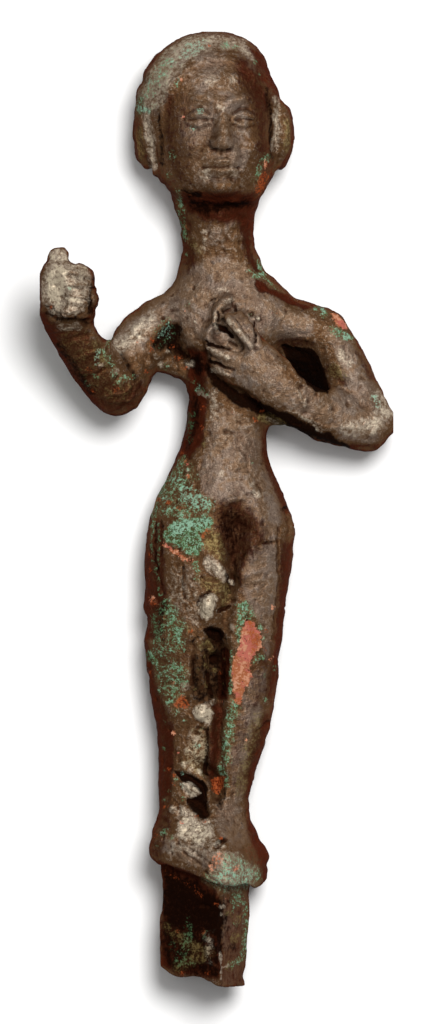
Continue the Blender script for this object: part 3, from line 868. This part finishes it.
# And areas: softness of the edge, strength, corners
outlines = {
    "green": {
        "hair": (8, 0.13, ((138, 112), (138, 96), (148, 74), (164, 52), (186, 36), (210, 34), (216, 44),
            (192, 60), (176, 78), (168, 96), (160, 114))),
        "waist": (5, 0.33, ((184, 458), (193, 466), (191, 482), (200, 494), (214, 502), (214, 512),
            (196, 514), (176, 520), (160, 516), (157, 498), (167, 478), (177, 462))),
        "hipPatch": (2.5, 0.9, ((167, 527), (176, 521), (194, 517), (211, 516), (214, 521), (208, 529),
            (200, 535), (203, 544), (198, 555), (190, 554), (178, 546), (166, 541), (163, 534))),
        "kneeLeft": (5, 0.37, ((154, 656), (165, 665), (178, 660), (188, 668), (189, 680), (183, 690),
            (184, 702), (178, 710), (170, 704), (162, 696), (158, 682))),
        "thighLeft": (6, 0.28, ((150, 606), (172, 600), (188, 624), (185, 652), (168, 662), (150, 656))),
        "thighRight": (3, 0.52, ((236, 606), (244, 601), (252, 606), (258, 615), (256, 621), (247, 622),
            (243, 634), (239, 646), (236, 632), (238, 618))),
        "shinStrip": (4, 0.52, ((230, 706), (234, 700), (240, 706), (236, 718), (234, 734), (232, 750),
            (229, 763), (223, 760), (222, 746), (225, 726), (227, 714))),
        "plinth": (4, 0.31, ((222, 852), (238, 854), (250, 861), (262, 872), (262, 881), (250, 889),
            (236, 893), (224, 893), (212, 886), (203, 878), (206, 870), (216, 870), (222, 862))),
        "tangTop": (3, 0.4, ((232, 895), (242, 893), (244, 903), (236, 908), (231, 904))),
    },
    "mint": {
        "hairTop": (4, 0.38, ((178, 58), (184, 46), (194, 39), (206, 38), (208, 46), (198, 54),
            (186, 60))),
        "waist": (4, 0.46, ((178, 486), (188, 484), (200, 494), (214, 502), (210, 510), (192, 508),
            (178, 500))),
        "hipTop": (3, 0.55, ((170, 528), (180, 521), (196, 518), (212, 517), (206, 526), (192, 530),
            (176, 536))),
        "plinth": (6, 0.3, ((216, 868), (230, 862), (246, 866), (258, 876), (250, 887), (232, 889),
            (214, 884))),
    },
    "pink": {
        "patch": (1.6, 1.0, ((246, 622), (255, 623), (263, 635), (261, 648), (254, 657), (250, 668),
            (253, 677), (246, 684), (242, 694), (240, 704), (236, 704), (233, 695), (234, 686),
            (231, 678), (232, 663), (236, 650), (240, 641), (243, 630))),
        "shoulder": (1.6, 1.0, ((331, 312), (338, 315), (345, 322), (348, 329), (343, 329), (336, 325),
            (333, 318))),
        "plinthSpot": (3, 0.5, ((209, 857), (222, 852), (223, 859), (217, 868), (209, 873), (207, 866))),
    },
    "rust": {
        "ankle": (1.6, 1.0, ((211, 780), (225, 775), (225, 787), (219, 793), (212, 790))),
    },
    "pale": {
        "hair": (8, 0.58, ((140, 108), (141, 92), (152, 70), (168, 50), (190, 37), (216, 34), (244, 42),
            (252, 58), (232, 48), (204, 50), (180, 68), (168, 90), (158, 108))),
        "fistLeft": (4, 1.0, ((45, 276), (56, 265), (68, 267), (70, 284), (66, 302), (60, 311),
            (48, 302))),
        "fist": (4, 0.56, ((50, 262), (68, 263), (86, 268), (92, 278), (89, 300), (84, 313), (66, 317),
            (50, 311), (43, 300), (43, 278))),
        "fistKnob": (2, 0.85, ((51, 254), (58, 250), (66, 254), (68, 263), (50, 263))),
        "plinthRight": (6, 0.5, ((214, 852), (238, 854), (258, 870), (252, 886), (228, 892), (208, 880))),
        "knob": (1.5, 1.0, ((206, 596), (212, 592), (217, 598), (215, 607), (213, 614), (208, 622),
            (203, 618), (198, 611), (199, 603))),
        "thighBulge": (2.5, 0.75, ((204, 560), (211, 556), (221, 565), (227, 575), (225, 583), (216, 577),
            (206, 569))),
        "shinKnob": (1.5, 1.0, ((192, 712), (197, 705), (206, 703), (212, 710), (211, 720), (208, 725),
            (202, 722), (196, 718))),
        "ledge": (1.5, 0.85, ((180, 783), (190, 783), (197, 788), (201, 793), (191, 798), (185, 794))),
        "instep": (5, 0.9, ((180, 806), (188, 812), (198, 820), (207, 820), (213, 826), (214, 836),
            (207, 845), (197, 847), (186, 843), (177, 837), (179, 824))),
        "instepLow": (8, 0.32, ((170, 838), (190, 840), (214, 836), (224, 848), (206, 856), (186, 853),
            (168, 850))),
        "thighFront": (9, 0.17, ((166, 566), (196, 570), (206, 600), (196, 628), (176, 622), (164, 592))),
        "slab": (6, 0.24, ((190, 730), (204, 728), (208, 745), (204, 768), (186, 768), (182, 750))),
        "tangLumps": (5, 0.24, ((205, 932), (214, 930), (214, 944), (210, 958), (213, 964), (206, 964),
            (204, 950))),
    },
    "dark": {
        "chinShadow": (6, 0.72, ((186, 194), (198, 199), (216, 203), (236, 201), (249, 197), (251, 206),
            (238, 209), (222, 211), (206, 217), (194, 213))),
        "gap": (1.6, 1.3, ((281, 344), (290, 346), (305, 347), (314, 350), (320, 360), (324, 372),
            (329, 388), (328, 393), (316, 391), (304, 381), (293, 368), (286, 356))),
        "armpit": (6, 0.75, ((152, 342), (156, 330), (166, 321), (178, 321), (182, 331), (180, 342),
            (187, 352), (199, 352), (206, 358), (203, 372), (197, 376), (190, 366), (176, 354),
            (166, 350), (158, 350))),
        "palmBand": (3, 0.95, ((205, 360), (211, 370), (222, 382), (238, 391), (262, 403), (290, 415),
            (310, 424), (327, 433), (350, 445), (350, 448), (330, 443), (305, 434), (280, 426),
            (264, 416), (244, 408), (228, 398), (212, 384), (204, 370))),
        "groinDeep": (6, 0.46, ((215, 514), (228, 505), (240, 512), (248, 526), (244, 540), (238, 550),
            (237, 570), (232, 572), (228, 552), (221, 534))),
        "channel": (6, 0.52, ((200, 646), (206, 632), (222, 628), (225, 642), (229, 652), (230, 672),
            (228, 696), (216, 700), (209, 706), (197, 704), (189, 692), (191, 676), (197, 662))),
        "pitMouth": (2.4, 1.2, ((203, 629), (209, 626), (215, 626), (221, 630), (224, 636), (221, 641),
            (213, 639), (206, 637))),
        "pitHole": (1.6, 1.3, ((209, 658), (213, 655), (219, 653), (219, 663), (215, 665), (210, 663))),
        "shinStep": (1.6, 1.0, ((175, 772), (190, 776), (203, 781), (208, 790), (208, 799), (201, 796),
            (190, 787), (180, 779))),
        "heelHole": (3.5, 0.95, ((187, 799), (203, 793), (208, 796), (208, 814), (204, 821), (196, 814),
            (188, 806))),
        "tangTop": (9, 1.0, ((164, 870), (174, 873), (190, 880), (205, 890), (218, 897), (225, 902),
            (225, 920), (220, 940), (208, 936), (196, 926), (180, 926), (166, 934))),
        "tangLow": (5, 0.66, ((162, 905), (186, 920), (219, 930), (220, 978), (196, 976), (168, 968),
            (161, 950))),
    },
    "olive": {
        "forearm": (6, 0.26, ((58, 322), (84, 326), (98, 346), (106, 364), (120, 380), (138, 382),
            (130, 402), (110, 406), (92, 390), (76, 366), (60, 344))),
        "groinLump": (4, 0.75, ((203, 532), (212, 528), (221, 536), (225, 552), (224, 562), (212, 554),
            (204, 546))),
        "thighSeam": (4, 0.6, ((200, 578), (214, 578), (228, 586), (234, 598), (222, 606), (216, 594),
            (204, 592))),
        "slab": (4, 0.5, ((193, 728), (203, 727), (208, 740), (206, 755), (203, 765), (204, 778),
            (192, 772), (178, 768), (185, 755), (190, 740))),
    },
    "grey": {
        "hair": (7, 1.2, ((138, 112), (138, 96), (148, 74), (164, 52), (186, 36), (214, 31), (240, 36),
            (256, 50), (262, 72), (250, 66), (236, 50), (214, 48), (192, 56), (176, 74), (168, 92),
            (162, 114), (150, 114))),
        "chest": (7, 0.95, ((186, 270), (212, 255), (244, 262), (260, 290), (290, 308), (316, 318),
            (310, 335), (280, 340), (250, 330), (232, 350), (205, 340), (186, 346), (182, 322),
            (164, 318), (150, 304), (166, 290))),
        "upperArmLeft": (5, 0.85, ((112, 342), (126, 324), (146, 308), (164, 298), (160, 322), (150, 335),
            (146, 352), (128, 358), (112, 356))),
        "belly": (7, 0.74, ((214, 405), (240, 412), (262, 430), (264, 455), (274, 480), (282, 505),
            (280, 540), (262, 540), (256, 520), (240, 502), (222, 503), (202, 490), (200, 465),
            (208, 440))),
        "thighRight": (5, 0.85, ((250, 545), (277, 545), (277, 590), (271, 640), (266, 660), (258, 620),
            (246, 600), (242, 570))),
        "calfRight": (5, 0.7, ((246, 675), (268, 668), (266, 690), (260, 715), (250, 750), (244, 800),
            (232, 800), (230, 770), (238, 720))),
        "rightArm": (6, 0.8, ((240, 350), (272, 345), (290, 380), (320, 395), (345, 385), (335, 350),
            (318, 322), (348, 334), (368, 370), (386, 405), (389, 430), (374, 442), (345, 438),
            (320, 424), (290, 410), (258, 398), (236, 380))),
        "hand": (3, 0.95, ((206, 342), (213, 306), (226, 300), (240, 318), (256, 330), (262, 350),
            (250, 372), (232, 376), (210, 368))),
        "plinthMiddle": (6, 0.6, ((160, 835), (190, 838), (214, 848), (212, 862), (184, 858),
            (160, 852))),
        "foot": (5, 0.8, ((214, 800), (238, 795), (246, 820), (252, 842), (236, 850), (222, 838),
            (214, 822))),
        "face": (8, 0.6, ((186, 78), (240, 72), (250, 110), (248, 160), (235, 188), (198, 184),
            (180, 155), (176, 105))),
        "forehead": (7, 0.55, ((192, 52), (228, 50), (240, 68), (238, 84), (202, 86), (184, 76))),
        "neckMiddle": (5, 0.32, ((206, 225), (236, 216), (240, 255), (230, 262), (200, 258))),
        "tangRight": (3, 0.9, ((223, 896), (249, 893), (250, 935), (247, 985), (222, 985))),
        "plinthRight": (5, 0.8, ((212, 852), (238, 852), (262, 872), (256, 888), (230, 893), (206, 878))),
        "plinthLeft": (3, 1.0, ((162, 848), (190, 842), (212, 850), (204, 868), (180, 862))),
    },
    "shade": {
        "forearm": (6, 0.7, ((44, 316), (60, 324), (88, 328), (98, 345), (104, 362), (118, 382),
            (142, 380), (144, 392), (132, 408), (112, 414), (90, 402), (68, 377), (50, 347), (42, 325))),
        "neckTop": (6, 0.85, ((178, 192), (254, 192), (256, 215), (252, 250), (245, 258), (238, 224),
            (206, 222), (188, 215))),
        "neckLeft": (5, 0.7, ((176, 200), (192, 215), (196, 262), (186, 275), (180, 250))),
        "neckRight": (3, 0.9, ((243, 200), (254, 200), (251, 235), (253, 255), (260, 272), (252, 270),
            (245, 250), (243, 225))),
        "cheeks": (8, 0.42, ((176, 92), (196, 96), (198, 150), (190, 180), (178, 160), (172, 120))),
        "headRight": (11, 0.74, ((232, 58), (246, 54), (268, 76), (274, 98), (266, 130), (270, 160),
            (262, 182), (256, 150), (254, 120), (244, 92), (234, 74))),
        "headRightEdge": (4, 0.8, ((240, 40), (262, 54), (280, 88), (278, 100), (264, 72), (248, 52))),
        "faceLeft": (6, 0.58, ((164, 90), (176, 96), (178, 150), (190, 185), (174, 180), (164, 150))),
        "sideTop": (4, 0.9, ((186, 346), (206, 350), (210, 366), (206, 380), (196, 380), (188, 362))),
        "sideLeft": (5, 0.95, ((188, 362), (204, 374), (208, 395), (205, 420), (203, 445), (190, 460),
            (178, 454), (186, 425), (186, 400))),
        "groin": (9, 0.62, ((211, 513), (220, 502), (238, 498), (256, 508), (266, 524), (270, 544),
            (260, 554), (250, 562), (246, 582), (238, 592), (230, 574), (224, 556), (218, 541),
            (214, 528))),
        "waistRight": (4, 0.6, ((260, 425), (270, 430), (269, 450), (278, 476), (290, 500), (294, 520),
            (284, 512), (274, 488), (262, 460))),
        "thighRightEdge": (4, 0.75, ((281, 540), (292, 545), (289, 590), (284, 625), (279, 670),
            (270, 704), (268, 684), (275, 630), (279, 590))),
        "flankLeft": (4, 0.75, ((144, 560), (158, 520), (164, 524), (165, 560), (168, 600), (160, 640),
            (144, 640), (142, 600))),
        "legLeftEdge": (5, 0.85, ((144, 640), (153, 660), (158, 690), (170, 714), (176, 735), (175, 770),
            (172, 800), (158, 800), (154, 740), (148, 690))),
        "strip": (4.5, 0.8, ((212, 705), (222, 700), (226, 712), (221, 740), (221, 765), (212, 785),
            (207, 780), (209, 745))),
        "stripHigh": (2.5, 0.85, ((222, 648), (230, 650), (231, 690), (229, 702), (218, 700),
            (219, 675))),
        "thighLeftLow": (7, 0.42, ((152, 606), (182, 600), (190, 640), (186, 690), (160, 700),
            (150, 656))),
        "calfMiddle": (6, 0.36, ((238, 700), (254, 692), (248, 740), (242, 792), (230, 792), (230, 740))),
        "thighRightLow": (8, 0.48, ((252, 655), (276, 640), (272, 690), (262, 712), (246, 706))),
        "calfRight": (5, 0.7, ((262, 710), (272, 716), (263, 750), (254, 790), (250, 820), (244, 800),
            (248, 760), (254, 735))),
        "footRight": (4, 0.75, ((250, 815), (260, 830), (270, 848), (270, 868), (262, 882), (260, 862),
            (253, 845), (247, 830))),
        "footLeft": (4, 0.6, ((158, 795), (170, 800), (172, 820), (166, 840), (160, 862), (149, 854),
            (152, 835))),
        "plinthLow": (3, 0.9, ((150, 856), (160, 860), (176, 866), (194, 874), (210, 886), (222, 894),
            (214, 896), (196, 884), (176, 874), (158, 868))),
        "shoulderBand": (2, 1.0, ((256, 279), (262, 281), (268, 288), (276, 291), (284, 294), (298, 302),
            (312, 306), (304, 310), (288, 304), (274, 297), (262, 291), (256, 286))),
        "tang": (4, 0.9, ((160, 862), (222, 894), (222, 982), (160, 970))),
        "tangRight": (4, 0.42, ((222, 894), (250, 894), (248, 985), (222, 985))),
    },
}


def outlineField(spots, corners, softness):              # one inside the outline, fading across its edge
    corners = np.array(corners, float)
    low = corners.min(axis=0) - softness
    high = corners.max(axis=0) + softness
    near = np.flatnonzero(((spots > low) & (spots < high)).all(axis=1))
    here = spots[near]
    inside = np.zeros(len(near), bool)
    nearest = np.full(len(near), np.inf)
    for a, b in zip(corners, np.roll(corners, -1, axis=0)):
        crosses = (a[1] > here[:, 1]) != (b[1] > here[:, 1])
        slope = (b[0] - a[0]) / (b[1] - a[1] + tiny)
        inside ^= crosses & (here[:, 0] < a[0] + (here[:, 1] - a[1]) * slope)
        way = b - a
        along = np.clip((here - a) @ way / (way @ way), 0, 1)
        nearest = np.minimum(nearest, np.linalg.norm(here - a - along[:, None] * way, axis=1))
    field = np.zeros(len(spots))
    field[near] = smoothStep(0.5 + np.where(inside, nearest, -nearest) / (2 * softness))
    return field


def paintShare(spots, name):                # how much of one growth lies at each point of the front
    share = np.zeros(len(spots))
    for stroke in everyStroke(strokes[name]):
        share = np.maximum(share, strokeField(spots, stroke, patina["steep"], patina["widen"]))
    for softness, strength, corners in outlines[name].values():
        share = np.maximum(share, strength * outlineField(spots, corners, softness))
    return share


def writeChannels(mesh, name, channels):    # three fields go into one colour attribute
    layer = mesh.attributes.new(name, "FLOAT_COLOR", "POINT")
    values = np.ones((len(mesh.vertices), 4), np.float32)
    for index, field in enumerate(channels):
        values[:, index] = field
    layer.data.foreach_set("color", values.ravel())


def paintPatina(piece):
    points, normals = readSkin(piece)
    spots = wanderingSpots(points, patina["edgeStray"])
    edges = meshEdges(piece)
    finePasses, fineDepth = patina["fine"]
    broadPasses, broadDepth = patina["broad"]
    fine = softened(edges, points, finePasses)
    broad = softened(edges, fine, broadPasses)
    hollows = []
    for smooth, depth in ((fine, fineDepth), (broad, broadDepth)):
        hollow = ((smooth - points) * normals).sum(axis=1) / depth
        hollows.append(hollow * patina["hollowScale"] + patina["level"])
    calm = softened(edges, normals, broadPasses)
    calm /= np.linalg.norm(calm, axis=1)[:, None]
    flank = np.clip((patina["flank"] - np.abs(calm[:, 2])) / patina["flank"], 0, 1)
    front = rise(calm[:, 2], *patina["front"])

    noises = {}
    for name in ("drift", "stray"):
        coarse, small = (latticeNoise(points, size, seed) for size, seed in patina[name])
        noises[name] = coarse + patina["smallShare"] * small
    share = {}
    for name, (noise, sign, start, width, strength) in unseen.items():
        patches = rise(sign * noises[noise], start, width) * strength
        share[name] = paintShare(spots, name) * front + (1 - front) * patches
    writeChannels(piece.data, "relief", (*hollows, flank))
    for layer, names in layers.items():
        writeChannels(piece.data, layer, [share[name] for name in names])


# Finish of the bronze: colours as they show in daylight
bronze = {
    "worn": (102, 81, 63),
    "wornCool": (105, 90, 79),
    "brown": (78, 55, 35),
    "bright": (180, 164, 146),
    "deep": (40, 18, 8),
    "shade": (44, 17, 8),
    "flank": (80, 37, 18),
    "rim": (64, 21, 8),
    "green": (78, 117, 84),
    "greenDeep": (42, 50, 24),
    "haze": (98, 96, 64),
    "mint": (126, 160, 138),
    "pink": (158, 88, 74),
    "pinkOrange": (140, 82, 52),
    "pinkLight": (172, 120, 94),
    "rust": (136, 66, 32),
    "rustDeep": (88, 30, 12),
    "pale": (161, 147, 130),
    "paleDeep": (116, 99, 80),
    "cream": (198, 184, 158),
    "dark": (12, 3, 1),
    "olive": (112, 96, 60),
    "oliveDeep": (62, 46, 22),
    "metallic": 0.42,
    "roughness": 0.5,
    "dullness": 0.4,             # how much rougher the crusts are
    "specular": 0.03,
    "glossTint": (0.8, 0.6, 0.45),
    "slant": -38,                # degrees that the streaks lean
    "slantScale": (1, 0.3, 1),   # which draws them long
    "bumps": (0.00018, 0.00009, 0.00005, 0.00005),       # depth of mottle, crumb, streak and speck
}

# How each growth breaks up: spread of its edge, strength, raggedness
growths = {
    "olive": (0.5, 0.85, 0.7),
    "pale": (0.6, 0.85, 0.5),
    "haze": (0.4, 0.6, 1),
    "green": (0.26, 0.8, 1),
    "mint": (0.35, 0.75, 1),
    "pink": (0.15, 0.95, 1),
    "rust": (0.34, 0.9, 1),
}

# Noises of the metal: size in metres, detail, roughness
grains = {
    "cloud": (0.0075, 2, 0.6),
    "blotch": (0.0040, 2, 0.6),
    "mottle": (0.0012, 3, 0.6),
    "crumb": (0.0006, 3, 0.6),
    "speck": (0.00028, 2, 0.6),
    "glint": (0.00022, 1, 0.5),
    "streak": (0.0004, 2, 0.6),
}

material = bpy.data.materials.new("agedBronze")
material.use_nodes = True
tree = material.node_tree


def tint(name):                             # a colour given as it shows, made linear
    parts = [value / 255 for value in bronze[name]]
    return (*[part / 12.92 if part < 0.04 else ((part + 0.055) / 1.055) ** 2.4 for part in parts], 1)


def addNode(kind, inputs, **settings):
    node = tree.nodes.new(kind)
    for name, value in settings.items():
        setattr(node, name, value)
    for key, value in inputs.items():
        if isinstance(value, bpy.types.NodeSocket):
            tree.links.new(value, node.inputs[key])
        else:
            node.inputs[key].default_value = value
    return node


def worked(operation, first, second):
    return addNode("ShaderNodeMath", {0: first, 1: second}, operation=operation).outputs[0]


def times(first, second):
    return worked("MULTIPLY", first, second)


def less(first, second):
    return worked("SUBTRACT", first, second)


def most(first, *others):                   # the highest of them
    for other in others:
        first = worked("MAXIMUM", first, other)
    return first


def swayed(share, *sways):                  # pushed up and down by noises, each after its amount
    for amount, noise in zip(sways[::2], sways[1::2]):
        share = worked("ADD", share, times(less(noise, 0.5), amount))
    return share


def ranged(value, low, high):               # from none to one, softly
    inputs = {"Value": value, "From Min": low, "From Max": high}
    return addNode("ShaderNodeMapRange", inputs, interpolation_type="SMOOTHSTEP").outputs[0]


def mixed(share, first, second):
    return addNode("ShaderNodeMix", {0: share, 6: first, 7: second}, data_type="RGBA").outputs[2]


def toned(first, second, value, low, high):
    return mixed(ranged(value, low, high), tint(first), tint(second))


def laid(colour, name, share, strength=None):            # a tint over what is there
    return mixed(share if strength is None else times(share, strength), colour, tint(name))


def grain(vector, name):
    size, detail, roughness = grains[name]
    inputs = {"Vector": vector, "Scale": 1 / size, "Detail": detail, "Roughness": roughness}
    return addNode("ShaderNodeTexNoise", inputs).outputs[0]


def channelsOf(name):
    layer = addNode("ShaderNodeAttribute", {}, attribute_name=name)
    return addNode("ShaderNodeSeparateColor", {0: layer.outputs["Color"]}).outputs[:3]


# From bare metal up to what grew on it, each layer over the last
def ageBronze():
    place = addNode("ShaderNodeTexCoord", {}).outputs["Object"]
    slant = (0, 0, math.radians(bronze["slant"]))
    slanting = {"Vector": place, "Rotation": slant, "Scale": bronze["slantScale"]}
    slanted = addNode("ShaderNodeMapping", slanting)
    fineHollow, broadHollow, flank = channelsOf("relief")
    (green, mint, pink), (rust, pale, dark), (olive, grey, shade) = (channelsOf(layer) for layer in layers)
    cloud = grain(place, "cloud")
    blotch = grain(place, "blotch")
    mottle = grain(place, "mottle")
    crumb = grain(place, "crumb")
    speck = grain(place, "speck")
    glint = grain(place, "glint")
    streak = grain(slanted.outputs[0], "streak")

    def broken(name, share):                # a growth that is speckled where it is thin
        spread, strength, ragged = growths[name]
        total = swayed(share, 1.3 * ragged, crumb, 2.0 * ragged, speck, 1.1, mottle)
        covered = times(ranged(total, 0.5 - spread, 0.5 + spread), strength)
        return times(covered, ranged(share, 0.04, 0.25))

    # Bare metal: brown, worn to grey, with dark and bright grains
    worn = toned("worn", "wornCool", swayed(blotch, 0.8, mottle), 0.38, 0.62)
    wornShare = ranged(swayed(grey, 1.2, blotch, 0.3, mottle, 0.5, crumb), 0.15, 0.75)
    colour = mixed(wornShare, tint("brown"), worn)
    colour = laid(colour, "brown", ranged(swayed(cloud, 0.6, blotch, 0.5, mottle), 0.44, 0.66), 0.55)
    hollow = swayed(fineHollow, -0.7, mottle, -0.8, crumb)
    colour = laid(colour, "deep", ranged(hollow, 0.52, 1), 0.65)
    colour = laid(colour, "deep", ranged(broadHollow, 0.56, 0.95), 0.6)
    colour = laid(colour, "deep", ranged(speck, 0.5, 0.7), 0.2)
    rubbed = times(ranged(hollow, 0.56, 0.25), ranged(swayed(crumb, 0.8, glint), 0.46, 0.75))
    colour = laid(colour, "bright", rubbed, 0.26)

    # Brown shade and the burnt look of every flank and rim
    leaning = less(flank, most(less(grey, 0.95), 0))
    colour = laid(colour, "brown", ranged(swayed(leaning, 0.25, mottle, 0.25, crumb), 0.04, 0.5), 0.8)
    shadeShare = ranged(swayed(shade, 0.9, mottle, 0.9, crumb, 0.9, streak), 0.1, 0.85)
    colour = laid(colour, "shade", shadeShare, 0.9)
    turned = swayed(less(flank, times(grey, 0.55)), 0.7, mottle, 0.9, crumb, 0.5, speck)
    colour = laid(colour, "flank", ranged(turned, 0.25, 0.7), 0.8)
    colour = laid(colour, "rim", ranged(turned, 0.55, 0.9), 0.85)
    deepShade = times(ranged(swayed(shade, 0.5, blotch, 0.5, crumb), 0.5, 1), 0.8)
    colour = laid(colour, "rim", times(shade, most(ranged(flank, 0.08, 0.5), deepShade)), 0.85)

    # What grew on it, dimmer where it lies in the shade
    dim = ranged(most(dark, times(shade, 0.8)), 0.2, 0.8)
    darkShare = ranged(swayed(dark, 0.7, mottle, 0.7, crumb, 0.6, streak), 0.1, 0.72)
    colour = laid(colour, "dark", darkShare, 0.98)
    growth = toned("oliveDeep", "olive", swayed(mottle, 1, crumb, 0.8, speck), 0.3, 0.7)
    growth = laid(growth, "oliveDeep", dim, 0.6)
    colour = mixed(broken("olive", olive), colour, growth)
    growth = toned("paleDeep", "pale", swayed(mottle, 0.4, speck, 0.5, crumb), 0.22, 0.56)
    growth = laid(growth, "cream", ranged(swayed(mottle, 0.8, speck), 0.46, 0.8), 0.5)
    colour = mixed(broken("pale", pale), colour, growth)
    colour = laid(colour, "haze", broken("haze", times(green, less(1.35, dim))))
    greenShare = broken("green", green)
    growth = toned("greenDeep", "green", swayed(0.5, 2.4, crumb, 2.2, speck), 0.3, 0.72)
    lit = less(0.85, times(dim, 0.72))
    growth = laid(growth, "mint", ranged(swayed(glint, 0.8, crumb), 0.5, 0.66), lit)
    growth = laid(growth, "greenDeep", dim, 0.7)
    colour = mixed(greenShare, colour, growth)
    mintShare = broken("mint", mint)
    colour = laid(colour, "mint", mintShare)
    pinkShare = broken("pink", pink)
    growth = toned("pink", "pinkOrange", swayed(blotch, 1, mottle), 0.38, 0.56)
    growth = laid(growth, "pinkLight", ranged(swayed(crumb, 0.8, mottle), 0.5, 0.66))
    colour = mixed(pinkShare, colour, growth)
    rustShare = broken("rust", rust)
    growth = toned("rustDeep", "rust", swayed(speck, 0.8, crumb), 0.4, 0.62)
    growth = laid(growth, "rustDeep", dim, 0.55)
    colour = mixed(rustShare, colour, growth)
    colour = laid(colour, "cream", ranged(swayed(pale, 1.2, crumb), 0.8, 1.05), 0.5)

    # Grime in the finest pores of everything
    grime = ranged(swayed(fineHollow, -1.2, crumb, -1.8, speck, -1.2, glint), 0.55, 1.05)
    clean = most(pinkShare, rustShare, times(pale, 0.6))
    colour = laid(colour, "deep", grime, less(0.32, times(clean, 0.3)))

    # Crusts and dark flanks are dull, bare metal has a soft gloss
    dull = most(greenShare, mintShare, rustShare, pinkShare, darkShare, ranged(flank, 0.05, 0.5))
    metallic = times(less(1, dull), bronze["metallic"])
    roughness = worked("ADD", times(dull, bronze["dullness"]), bronze["roughness"])
    below = {}
    for height, distance in zip((mottle, crumb, streak, speck), bronze["bumps"]):
        bump = addNode("ShaderNodeBump", {"Strength": 1, "Distance": distance, "Height": height, **below})
        below = {"Normal": bump.outputs[0]}
    shader = tree.nodes["Principled BSDF"]
    shader.inputs["Specular IOR Level"].default_value = bronze["specular"]
    shader.inputs["Specular Tint"].default_value = (*bronze["glossTint"], 1)
    finish = {"Base Color": colour, "Metallic": metallic, "Roughness": roughness, **below}
    for name, socket in finish.items():
        tree.links.new(socket, shader.inputs[name])


print("stage 3: patina")
paintPatina(idol)
ageBronze()
idol.data.materials.clear()
idol.data.materials.append(material)
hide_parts("idol")
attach(idol, "root")

# Floor, light and camera, in metres
studio = {
    "floorReach": 4.0,
    "floorColour": (0.76, 0.755, 0.75),
    "floorRoughness": 0.9,
    "floorGloss": 0.1,
    "lights": {                  # place, width, power
        "key": ((0.22, 0.38, 1.15), 0.5, 18.0),
        "overhead": ((0.0, 0.1, 0.95), 0.9, 3.6),
    },
    "airColour": (1, 0.99, 0.98),
    "airStrength": 0.12,
    "cameraHeight": 2.0,
    "cameraReach": 10,
    "trueHeight": 0.012,         # height over the floor that shows at the photograph's scale
    "viewHeight": 0.1607,
    "sensor": 36.0,
    "viewMiddle": (-0.00094, -0.00047),
}


def makeFloor():
    bpy.ops.object.select_all(action="DESELECT")
    bpy.ops.mesh.primitive_plane_add(size=2 * studio["floorReach"], location=(0, 0, 0))
    floor = bpy.context.object
    floor.name = "floor"
    paper = bpy.data.materials.new("paleFloor")
    paper.use_nodes = True
    shader = paper.node_tree.nodes["Principled BSDF"]
    shader.inputs["Base Color"].default_value = (*studio["floorColour"], 1)
    shader.inputs["Roughness"].default_value = studio["floorRoughness"]
    shader.inputs["Specular IOR Level"].default_value = studio["floorGloss"]
    floor.data.materials.append(paper)


def makeLight(name, place, width, power):
    bpy.ops.object.light_add(type="AREA", location=place)
    lamp = bpy.context.object
    lamp.name = name
    lamp.data.shape = "DISK"
    lamp.data.size = width
    lamp.data.energy = power
    lamp.rotation_euler = (-Vector(place)).to_track_quat("-Z", "Y").to_euler()
    lamp.visible_camera = False


def makeAir():
    world = bpy.data.worlds.new("studioAir")
    world.use_nodes = True
    background = world.node_tree.nodes["Background"]
    background.inputs["Color"].default_value = (*studio["airColour"], 1)
    background.inputs["Strength"].default_value = studio["airStrength"]
    bpy.context.scene.world = world


def makeCamera():
    x, y = studio["viewMiddle"]
    bpy.ops.object.camera_add(location=(x, y, studio["cameraHeight"]), rotation=(0, 0, 0))
    camera = bpy.context.object
    camera.data.sensor_width = studio["sensor"]
    distance = studio["cameraHeight"] - studio["trueHeight"]
    camera.data.lens = studio["sensor"] * distance / studio["viewHeight"]
    camera.data.clip_end = studio["cameraReach"]
    bpy.context.scene.camera = camera


print("stage 4: floor, light and camera")
makeFloor()
for name, (place, width, power) in studio["lights"].items():
    makeLight(name, place, width, power)
makeAir()
makeCamera()
bpy.context.scene.view_settings.view_transform = "Standard"
